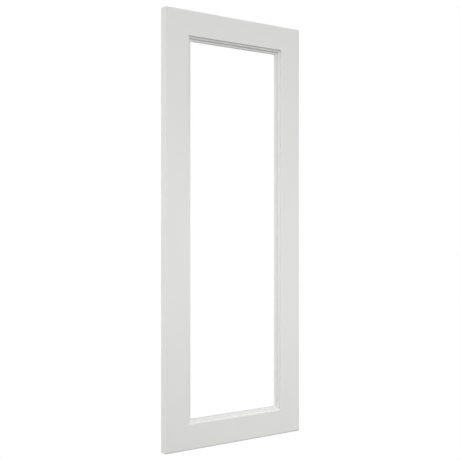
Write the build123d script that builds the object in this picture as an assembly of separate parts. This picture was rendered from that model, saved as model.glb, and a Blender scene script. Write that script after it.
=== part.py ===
from build123d import *
import os

# A framed cabinet door: two stiles, two rails and the dowels that pin their corners.
# Millimetres. The origin is the centre of the door, +X runs across its width, +Z up
# its height, the front face looks along -Y and the back along +Y.

# Overall size of the door
door_width = 397.0
door_height = 1010.0
door_thickness = 22.0

# Stiles and rails: width from the outer edge to the sight edge, moulding included
stile_width = 72.0
rail_width = 69.0
edge_round = 3.0

# Moulded inner edge, in order from the flat of the frame down to its lip
quirk_step = 1.4
cove_radius = 1.6
land_width = 2.0
land_drop = 0.6
ovolo_radius = 2.4
ovolo_step = 1.2
lip_front_width = 4.7
lip_drop = 0.4
lip_edge_round = 0.6

# Rebate behind the lip, for a pane put in from the back
rebate_width = 10.0
rebate_depth = 9.0

# Dowels across each corner joint
dowel_diameter = 8.0
dowel_length = 40.0
dowel_chamfer = 0.6
dowel_fit = 0.05
dowel_end_gap = 1.0
dowel_outer_inset = 18.0
dowel_spacing = 26.0
flute_count = 8
flute_width = 1.0
flute_depth = 0.35

# Hinge drilling in the back of the left stile
cup_diameter = 35.0
cup_depth = 12.5
cup_from_edge = 22.5
cup_from_end = 100.0
cup_count = 3
fixing_diameter = 8.0
fixing_depth = 12.0
fixing_spacing = 45.0
fixing_setback = 9.5

# Places that follow from the sizes above
left_edge = -door_width / 2
top_edge = door_height / 2
front_face = -door_thickness / 2
back_face = door_thickness / 2
moulding_width = cove_radius + land_width + ovolo_radius + lip_front_width
land_depth = quirk_step + cove_radius + land_drop
lip_root_depth = land_depth + ovolo_radius + ovolo_step
lip_front_depth = lip_root_depth + lip_drop
lip_back_depth = door_thickness - rebate_depth
sight_half_width = door_width / 2 - stile_width
stile_flat = stile_width - moulding_width
joint_middle = sight_half_width + rebate_width / 2
dowel_y = front_face + (lip_front_depth + lip_back_depth) / 2
dowel_insets = {"outer": dowel_outer_inset, "inner": dowel_outer_inset + dowel_spacing}


def member_section(width):
    """Section of a stile or rail: across it from the outer edge, then in from the face."""
    flat = width - moulding_width
    cove_end = flat + cove_radius
    cove_depth = quirk_step + cove_radius
    land_end = cove_end + land_width
    ovolo_end = land_end + ovolo_radius
    ovolo_depth = land_depth + ovolo_radius
    lip_corner = width - lip_edge_round
    lip_round_depth = lip_front_depth + lip_edge_round
    rebate_floor = width - rebate_width
    edges = [
        Line((0, 0), (flat, 0)),
        Line((flat, 0), (flat, quirk_step)),
        CenterArc((cove_end, quirk_step), cove_radius, 180, -90),
        Line((cove_end, cove_depth), (land_end, land_depth)),
        CenterArc((land_end, ovolo_depth), ovolo_radius, 270, 90),
        Line((ovolo_end, ovolo_depth), (ovolo_end, lip_root_depth)),
        Line((ovolo_end, lip_root_depth), (lip_corner, lip_front_depth)),
        CenterArc((lip_corner, lip_round_depth), lip_edge_round, 270, 90),
        Line((width, lip_round_depth), (width, lip_back_depth)),
        Line((width, lip_back_depth), (rebate_floor, lip_back_depth)),
        Line((rebate_floor, lip_back_depth), (rebate_floor, door_thickness)),
        Line((rebate_floor, door_thickness), (0, door_thickness)),
        Line((0, door_thickness), (0, 0)),
    ]
    return make_face(edges)


def door_blank():
    """The whole door as one rounded slab, which trims the outside of every member."""
    slab = Box(door_width, door_thickness, door_height)
    return fillet(slab.edges(), edge_round)


def left_bar():
    """The left stile's moulded bar, full height, before its ends and edges are rounded."""
    start = Plane((left_edge, front_face, -top_edge), x_dir=(1, 0, 0), z_dir=(0, 0, 1))
    return extrude(start * member_section(stile_width), door_height)


def top_bar():
    """The top rail's moulded bar, long enough to reach the flats of both stiles."""
    reach = door_width / 2 - stile_flat + rebate_width
    start = Plane((-reach, front_face, top_edge), x_dir=(0, 0, -1), z_dir=(1, 0, 0))
    return extrude(start * member_section(rail_width), 2 * reach)


def cylinder_between(start, end, radius):
    """A round bar from one point to another."""
    run = Vector(*end) - Vector(*start)
    base = Plane(origin=start, z_dir=run)
    return extrude(base * Circle(radius), run.length)


def dowel_centre(side, end, inset):
    """Middle of a dowel: halfway along the overlap of its joint, halfway through the lip."""
    return Vector(side * joint_middle, dowel_y, end * (top_edge - inset))


def dowel_holes():
    """Every dowel hole, a little wider and longer than its dowel, for the glue."""
    radius = dowel_diameter / 2 + dowel_fit
    half = Vector(dowel_length / 2 + dowel_end_gap, 0, 0)
    holes = []
    for side in (-1, 1):
        for end in (-1, 1):
            for inset in dowel_insets.values():
                centre = dowel_centre(side, end, inset)
                holes.append(cylinder_between(centre - half, centre + half, radius))
    return holes


def dowel(centre):
    """A fluted dowel with chamfered ends, lying along X."""
    radius = dowel_diameter / 2
    flutes = PolarLocations(radius, flute_count) * Rectangle(2 * flute_depth, flute_width)
    lying = Plane(origin=centre, z_dir=(1, 0, 0))
    bar = extrude(lying * (Circle(radius) - flutes), dowel_length / 2, both=True)
    envelope = cylinder_between(
        centre - Vector(dowel_length / 2, 0, 0), centre + Vector(dowel_length / 2, 0, 0), radius
    )
    return bar & chamfer(envelope.edges().filter_by(GeomType.CIRCLE), dowel_chamfer)


def hinge_heights():
    """Heights of the hinge cups, evenly spread between the two end cups."""
    lowest = -top_edge + cup_from_end
    step = (door_height - 2 * cup_from_end) / (cup_count - 1)
    return [lowest + step * index for index in range(cup_count)]


def hinge_drilling():
    """Blind cups in the back of the stile, each with its two fixing holes."""
    cup_x = left_edge + cup_from_edge
    fixing_x = cup_x + fixing_setback
    holes = []
    for height in hinge_heights():
        cup_floor = (cup_x, back_face - cup_depth, height)
        holes.append(cylinder_between(cup_floor, (cup_x, back_face, height), cup_diameter / 2))
        for offset in (-fixing_spacing / 2, fixing_spacing / 2):
            z = height + offset
            floor = (fixing_x, back_face - fixing_depth, z)
            holes.append(cylinder_between(floor, (fixing_x, back_face, z), fixing_diameter / 2))
    return holes


def build_door():
    """All the pieces of the door, by name."""
    blank = door_blank()
    left_stile = left_bar() & blank
    right_stile = mirror(left_stile, about=Plane.YZ)
    top_rail = (top_bar() & blank) - left_stile - right_stile
    bottom_rail = mirror(top_rail, about=Plane.XY)

    holes = dowel_holes()
    pieces = {
        "left_stile": left_stile - holes - hinge_drilling(),
        "right_stile": right_stile - holes,
        "top_rail": top_rail - holes,
        "bottom_rail": bottom_rail - holes,
    }
    for side_name, side in (("left", -1), ("right", 1)):
        for end_name, end in (("top", 1), ("bottom", -1)):
            for row_name, inset in dowel_insets.items():
                name = f"dowel_{end_name}_{side_name}_{row_name}"
                pieces[name] = dowel(dowel_centre(side, end, inset))
    return pieces


os.makedirs("parts", exist_ok=True)
for name, piece in build_door().items():
    export_step(piece, f"parts/{name}.step")
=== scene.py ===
from math import cos, pi, radians, sin

import bmesh
import bpy
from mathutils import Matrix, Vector


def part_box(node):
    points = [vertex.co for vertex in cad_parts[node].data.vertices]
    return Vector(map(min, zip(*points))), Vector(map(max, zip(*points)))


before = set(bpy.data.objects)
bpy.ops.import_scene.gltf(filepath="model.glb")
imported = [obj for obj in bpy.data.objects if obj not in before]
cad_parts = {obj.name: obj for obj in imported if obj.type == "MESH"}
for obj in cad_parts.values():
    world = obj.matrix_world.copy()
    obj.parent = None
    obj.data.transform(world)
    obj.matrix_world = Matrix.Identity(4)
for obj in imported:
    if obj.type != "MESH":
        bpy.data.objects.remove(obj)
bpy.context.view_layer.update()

MM = 0.001

# The door's own measures, read from its pieces
DOOR_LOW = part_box("left_stile")[0]
DOOR_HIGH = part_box("right_stile")[1]
DOOR_HEIGHT = DOOR_HIGH.z - DOOR_LOW.z

# Hinge drilling in the back of the left stile, where the cutter leaves bare wood
CUP_FROM_EDGE = 22.5 * MM
CUP_FROM_END = 100 * MM
CUP_BARE_RADIUS = 17.6 * MM
FIXING_SETBACK = 9.5 * MM
FIXING_OFFSET = 22.5 * MM
FIXING_BARE_RADIUS = 4.1 * MM
BARE_DEPTH = 13.5 * MM
CUTTER_MARK_SPACING = 0.9 * MM

# Places that follow from them, the middle cup being at half the door's height
CUP_X = DOOR_LOW.x + CUP_FROM_EDGE
CUP_SPACING = DOOR_HEIGHT / 2 - CUP_FROM_END
FIXING_X = CUP_X + FIXING_SETBACK
BARE_FRONT = DOOR_HIGH.y - BARE_DEPTH

# Camera: the door's front left corner as the lens sees it, and the lens itself
PICTURE_SIDE_PX = 460
FOCAL_PX = 864.8
SENSOR_WIDTH_MM = 36.0
CAMERA_YAW = radians(36.387)
CORNER_TO_THE_RIGHT = -144.5 * MM
CORNER_AHEAD = 1945.0 * MM
CAMERA_HEIGHT = -3.48 * MM
HORIZON_BELOW_MIDDLE_PX = 1.73

# Studio: place, size, and power of each softbox, all turned to the middle of the door
SOFTBOXES = {
    "front": ((0.3, -2.4, 0.0), (1.0, 1.0), 5.4),
    "close_front": ((-0.1, -0.9, 0.0), (0.4, 0.4), 1.57),
    "right_side": ((2.2, -0.9, 0.0), (1.0, 1.2), 6.15),
    "right_low": ((1.4, -1.6, -0.5), (1.0, 1.0), 3.85),
    "left_back": ((-2.2, 1.2, 0.0), (1.0, 1.2), 28.2),
    "right_back": ((2.2, 1.2, 0.0), (1.0, 1.2), 28.0),
    "behind": ((0.8, 3.2, -0.2), (2.0, 2.0), 32.0),
}

# White room: the dome's strength all round, then what its front, left and right add to it
WHITE = (1.0, 1.0, 1.0, 1.0)
DOME_LIGHT = 0.02
DOME_FRONT_LIGHT = 1.97
DOME_FRONT_HIGH_LIGHT = 2.19
DOME_LEFT_LIGHT = 2.05
DOME_RIGHT_LIGHT = 0.20

# Floor, below the picture, and how far from its middle it fades
FLOOR_HEIGHT = -3.0
FLOOR_RADIUS = 4.0
FLOOR_SIDES = 128
FLOOR_SHADES = ((0.61, 0.61, 0.61), (0.63, 0.63, 0.63))
FLOOR_ROUGHNESS = (0.85, 0.95)
FLOOR_CLOUDS_PER_METRE = 3.0
FLOOR_FADE_START = 0.8
FLOOR_FADE_END = 1.8

# Paint: its shades and roughness, dark marks first, and the size and height of its marks
PAINT_SHADES = ((0.714, 0.714, 0.705), (0.727, 0.727, 0.720))
PAINT_ROUGHNESS = (0.33, 0.43)
PAINT_CLOUDS_PER_METRE = 9.0
ORANGE_PEEL_PER_METRE = 420.0
ORANGE_PEEL_SHARE = 0.3
ORANGE_PEEL_HEIGHT = 0.020 * MM
GHOST_GRAIN_PER_METRE = 650.0
GHOST_GRAIN_HEIGHT = 0.012 * MM
GRAIN_STRETCH = 0.03

# Bare wood, dark marks first: the cut face in the hinge drilling, and the beech of the dowels
CUT_WOOD = ((0.40, 0.27, 0.155), (0.56, 0.42, 0.27))
BEECH = ((0.47, 0.29, 0.165), (0.62, 0.43, 0.27))
WOOD_ROUGHNESS = (0.72, 0.52)
WOOD_GRAIN_PER_METRE = 900.0
WOOD_FLECKS_PER_METRE = 2600.0
WOOD_FLECK_SHARE = 0.35
WOOD_GRAIN_HEIGHT = 0.05 * MM
CUTTER_MARK_HEIGHT = 0.06 * MM

# Refraction of paint and wood alike
SURFACE_IOR = 1.5


def node(tree, kind, **settings):
    """A shader node with its settings."""
    made = tree.nodes.new(kind)
    for name, value in settings.items():
        setattr(made, name, value)
    return made


def new_material(name):
    """A material with its tree, its main shader, and the place on the piece that colours it."""
    material = bpy.data.materials.new(name)
    material.use_nodes = True
    tree = material.node_tree
    place = node(tree, "ShaderNodeTexCoord").outputs["Object"]
    return material, tree, tree.nodes["Principled BSDF"], place


def calculate(tree, operation, first, second=None, third=None):
    """One step of arithmetic on values or sockets."""
    step = node(tree, "ShaderNodeMath", operation=operation)
    for slot, value in enumerate((first, second, third)):
        if isinstance(value, bpy.types.NodeSocket):
            tree.links.new(value, step.inputs[slot])
        elif value is not None:
            step.inputs[slot].default_value = value
    return step.outputs[0]


def along_axes(tree, place):
    """The x, y and z of a place or direction."""
    split = node(tree, "ShaderNodeSeparateXYZ")
    tree.links.new(place, split.inputs[0])
    return split.outputs


def between(tree, source, low, high, start=0.3, end=0.7):
    """A value from low to high as the source goes from start to end, and level beyond them."""
    spread = node(tree, "ShaderNodeMapRange")
    spread.inputs["From Min"].default_value = start
    spread.inputs["From Max"].default_value = end
    spread.inputs["To Min"].default_value = low
    spread.inputs["To Max"].default_value = high
    tree.links.new(source, spread.inputs["Value"])
    return spread.outputs["Result"]


def noise(tree, place, per_metre, detail=3.0, roughness=0.55):
    """Soft random marks, so many to the metre."""
    made = node(tree, "ShaderNodeTexNoise")
    made.inputs["Scale"].default_value = per_metre
    made.inputs["Detail"].default_value = detail
    made.inputs["Roughness"].default_value = roughness
    tree.links.new(place, made.inputs["Vector"])
    return made.outputs["Fac"]


def along_grain(tree, place, axis):
    """The place drawn out along the grain."""
    stretch = node(tree, "ShaderNodeVectorMath", operation="MULTIPLY")
    stretch.inputs[1].default_value = [GRAIN_STRETCH if name == axis else 1.0 for name in "XYZ"]
    tree.links.new(place, stretch.inputs[0])
    return stretch.outputs[0]


def blended(tree, fine, coarse, fine_share):
    """Fine marks laid over coarse ones, each with its share."""
    rest = calculate(tree, "MULTIPLY", coarse, 1 - fine_share)
    return calculate(tree, "MULTIPLY_ADD", fine, fine_share, rest)


def shades(tree, marks, dark, light):
    """A colour that follows the marks from the dark shade to the light one."""
    mix = node(tree, "ShaderNodeMix", data_type="RGBA")
    mix.inputs["A"].default_value = (*dark, 1)
    mix.inputs["B"].default_value = (*light, 1)
    tree.links.new(between(tree, marks, 0.0, 1.0), mix.inputs["Factor"])
    return mix.outputs["Result"]


def mixed(tree, kind, mask, outside, inside):
    """One look outside the mask and another inside it."""
    mix = node(tree, "ShaderNodeMix", data_type=kind)
    tree.links.new(mask, mix.inputs["Factor"])
    tree.links.new(outside, mix.inputs["A"])
    tree.links.new(inside, mix.inputs["B"])
    return mix.outputs["Result"]


def relief(tree, marks, height, under=None):
    """Marks raised on the surface, over any relief already there."""
    bump = node(tree, "ShaderNodeBump")
    bump.inputs["Distance"].default_value = height
    tree.links.new(marks, bump.inputs["Height"])
    if under is not None:
        tree.links.new(under, bump.inputs["Normal"])
    return bump.outputs["Normal"]


def put_on(tree, shader, colour, roughness, normal):
    """The shader takes on a colour, a roughness and a relief."""
    tree.links.new(colour, shader.inputs["Base Color"])
    tree.links.new(roughness, shader.inputs["Roughness"])
    tree.links.new(normal, shader.inputs["Normal"])
    shader.inputs["IOR"].default_value = SURFACE_IOR


def wood_look(tree, place, axis, colours):
    """Colour, roughness and relief of bare wood whose grain runs along one axis."""
    drawn_out = along_grain(tree, place, axis)
    grain = noise(tree, drawn_out, WOOD_GRAIN_PER_METRE, detail=5.0, roughness=0.6)
    flecks = noise(tree, drawn_out, WOOD_FLECKS_PER_METRE, detail=2.0)
    marks = blended(tree, flecks, grain, WOOD_FLECK_SHARE)
    return (
        shades(tree, marks, *colours),
        between(tree, marks, *WOOD_ROUGHNESS),
        relief(tree, marks, WOOD_GRAIN_HEIGHT),
    )


def distance_from(tree, x, centre_x, up):
    """Distance from the centre of a hole, where up is already counted from that centre."""
    across = calculate(tree, "SUBTRACT", x, centre_x)
    across_squared = calculate(tree, "POWER", across, 2.0)
    up_squared = calculate(tree, "POWER", up, 2.0)
    return calculate(tree, "SQRT", calculate(tree, "ADD", across_squared, up_squared))


def drilling_mask(tree, place):
    """One inside the hinge cups and fixing holes, zero elsewhere, and the distance from a cup."""
    x, y, z = along_axes(tree, place)
    up = calculate(tree, "WRAP", z, CUP_SPACING / 2, -CUP_SPACING / 2)
    past_fixing = calculate(tree, "SUBTRACT", calculate(tree, "ABSOLUTE", up), FIXING_OFFSET)
    from_cup = distance_from(tree, x, CUP_X, up)
    from_fixing = distance_from(tree, x, FIXING_X, past_fixing)
    in_cup = calculate(tree, "LESS_THAN", from_cup, CUP_BARE_RADIUS)
    in_fixing = calculate(tree, "LESS_THAN", from_fixing, FIXING_BARE_RADIUS)
    in_either = calculate(tree, "MAXIMUM", in_cup, in_fixing)
    behind = calculate(tree, "GREATER_THAN", y, BARE_FRONT)
    return calculate(tree, "MULTIPLY", in_either, behind), from_cup


def satin_paint(name, axis, drilled=False):
    """Sprayed satin paint on a member whose grain runs along that axis."""
    material, tree, shader, place = new_material(name)
    clouds = noise(tree, place, PAINT_CLOUDS_PER_METRE, detail=4.0)
    peel = noise(tree, place, ORANGE_PEEL_PER_METRE, detail=2.0)
    grain = noise(tree, along_grain(tree, place, axis), GHOST_GRAIN_PER_METRE)
    marks = blended(tree, peel, clouds, ORANGE_PEEL_SHARE)
    colour = shades(tree, marks, *PAINT_SHADES)
    roughness = between(tree, marks, *PAINT_ROUGHNESS)
    normal = relief(tree, peel, ORANGE_PEEL_HEIGHT, relief(tree, grain, GHOST_GRAIN_HEIGHT))
    if drilled:
        mask, from_cup = drilling_mask(tree, place)
        wood, wood_roughness, wood_normal = wood_look(tree, place, axis, CUT_WOOD)
        turns = calculate(tree, "MULTIPLY", from_cup, 2 * pi / CUTTER_MARK_SPACING)
        cutter_marks = calculate(tree, "SINE", turns)
        wood_normal = relief(tree, cutter_marks, CUTTER_MARK_HEIGHT, wood_normal)
        colour = mixed(tree, "RGBA", mask, colour, wood)
        roughness = mixed(tree, "FLOAT", mask, roughness, wood_roughness)
        normal = mixed(tree, "VECTOR", mask, normal, wood_normal)
    put_on(tree, shader, colour, roughness, normal)
    return material


def beech_wood():
    """Beech with its short flecks, grain along the dowel."""
    material, tree, shader, place = new_material("beech")
    put_on(tree, shader, *wood_look(tree, place, "X", BEECH))
    return material


def paint_door():
    """Every piece of the door gets its finish."""
    upright = satin_paint("satin_paint_upright", "Z")
    drilled = satin_paint("satin_paint_drilled", "Z", drilled=True)
    across = satin_paint("satin_paint_across", "X")
    beech = beech_wood()
    finishes = {
        "left_stile": drilled,
        "right_stile": upright,
        "top_rail": across,
        "bottom_rail": across,
    }
    for name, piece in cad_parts.items():
        piece.data.materials.clear()
        piece.data.materials.append(finishes.get(name, beech))


def floor_paint():
    """Matt pale paint that turns clear with the distance from the middle of the floor."""
    material, tree, shader, place = new_material("pale_floor")
    clouds = noise(tree, place, FLOOR_CLOUDS_PER_METRE)
    shader.inputs["Specular IOR Level"].default_value = 0.0
    tree.links.new(shades(tree, clouds, *FLOOR_SHADES), shader.inputs["Base Color"])
    tree.links.new(between(tree, clouds, *FLOOR_ROUGHNESS), shader.inputs["Roughness"])
    flat = node(tree, "ShaderNodeVectorMath", operation="MULTIPLY")
    flat.inputs[1].default_value = (1, 1, 0)
    distance = node(tree, "ShaderNodeVectorMath", operation="LENGTH")
    fade = node(tree, "ShaderNodeMapRange", interpolation_type="SMOOTHSTEP")
    fade.inputs["From Min"].default_value = FLOOR_FADE_START
    fade.inputs["From Max"].default_value = FLOOR_FADE_END
    clear = node(tree, "ShaderNodeBsdfTransparent")
    mix = node(tree, "ShaderNodeMixShader")
    output = tree.nodes["Material Output"]
    tree.links.new(place, flat.inputs[0])
    tree.links.new(flat.outputs[0], distance.inputs[0])
    tree.links.new(distance.outputs["Value"], fade.inputs["Value"])
    tree.links.new(fade.outputs["Result"], mix.inputs["Fac"])
    tree.links.new(shader.outputs["BSDF"], mix.inputs[1])
    tree.links.new(clear.outputs["BSDF"], mix.inputs[2])
    tree.links.new(mix.outputs["Shader"], output.inputs["Surface"])
    return material


def pale_floor():
    """A round pale floor that fades into the white of the room."""
    shape = bmesh.new()
    bmesh.ops.create_circle(shape, cap_ends=True, segments=FLOOR_SIDES, radius=FLOOR_RADIUS)
    bmesh.ops.translate(shape, verts=shape.verts, vec=(0, 0, FLOOR_HEIGHT))
    mesh = bpy.data.meshes.new("floor")
    shape.to_mesh(mesh)
    shape.free()
    mesh.materials.append(floor_paint())
    floor = bpy.data.objects.new("floor", mesh)
    bpy.context.scene.collection.objects.link(floor)


def dome_strength(tree):
    """Strength of the dome: none at the horizon and overhead, most about a third of the way up."""
    direction = node(tree, "ShaderNodeTexCoord").outputs["Generated"]
    x, y, z = along_axes(tree, direction)
    up = calculate(tree, "MAXIMUM", z, 0.0)
    swell = calculate(tree, "SINE", calculate(tree, "MULTIPLY", up, pi))
    forward = between(tree, y, 0.0, 1.0, start=0.0, end=-1.0)
    low = calculate(tree, "MULTIPLY", calculate(tree, "POWER", forward, 2.0), DOME_FRONT_LIGHT)
    spread = calculate(tree, "MULTIPLY_ADD", up, DOME_FRONT_HIGH_LIGHT, low)
    left = between(tree, x, DOME_LIGHT, DOME_LIGHT + DOME_LEFT_LIGHT, start=0.0, end=-1.0)
    right = between(tree, x, 0.0, DOME_RIGHT_LIGHT, start=0.0, end=1.0)
    sides = calculate(tree, "ADD", left, right)
    around = calculate(tree, "MULTIPLY_ADD", forward, spread, sides)
    return calculate(tree, "MULTIPLY", swell, around)


def white_room():
    """White to the lens; to the door, a soft dome over its front and left, faint on its right."""
    world = bpy.data.worlds.new("white_room")
    world.use_nodes = True
    tree = world.node_tree
    dome = tree.nodes["Background"]
    white = node(tree, "ShaderNodeBackground")
    seen = node(tree, "ShaderNodeLightPath")
    mix = node(tree, "ShaderNodeMixShader")
    output = tree.nodes["World Output"]
    dome.inputs["Color"].default_value = WHITE
    white.inputs["Color"].default_value = WHITE
    tree.links.new(dome_strength(tree), dome.inputs["Strength"])
    tree.links.new(seen.outputs["Is Camera Ray"], mix.inputs["Fac"])
    tree.links.new(dome.outputs[0], mix.inputs[1])
    tree.links.new(white.outputs[0], mix.inputs[2])
    tree.links.new(mix.outputs[0], output.inputs["Surface"])
    bpy.context.scene.world = world
    bpy.context.scene.view_settings.view_transform = "Standard"


def softboxes():
    """Square and oblong soft lights round the door, none of them in the picture."""
    for name, (place, (across, tall), power) in SOFTBOXES.items():
        data = bpy.data.lights.new(name, "AREA")
        data.shape = "RECTANGLE"
        data.size, data.size_y = across, tall
        data.energy = power
        light = bpy.data.objects.new(name, data)
        light.location = place
        light.rotation_euler = (-Vector(place)).to_track_quat("-Z", "Y").to_euler()
        light.visible_camera = False
        bpy.context.scene.collection.objects.link(light)


def camera():
    """A level camera to the left of the door, at the middle of its height."""
    ahead = Vector((sin(CAMERA_YAW), cos(CAMERA_YAW), 0))
    right = Vector((cos(CAMERA_YAW), -sin(CAMERA_YAW), 0))
    corner = Vector((DOOR_LOW.x, DOOR_LOW.y, 0))
    place = corner - CORNER_TO_THE_RIGHT * right - CORNER_AHEAD * ahead
    place.z = CAMERA_HEIGHT
    data = bpy.data.cameras.new("camera")
    data.sensor_width = SENSOR_WIDTH_MM
    data.lens = FOCAL_PX / PICTURE_SIDE_PX * SENSOR_WIDTH_MM
    data.shift_y = HORIZON_BELOW_MIDDLE_PX / PICTURE_SIDE_PX
    made = bpy.data.objects.new("camera", data)
    made.location = place
    made.rotation_euler = (radians(90), 0, -CAMERA_YAW)
    bpy.context.scene.collection.objects.link(made)
    bpy.context.scene.camera = made


white_room()
pale_floor()
softboxes()
paint_door()
camera()
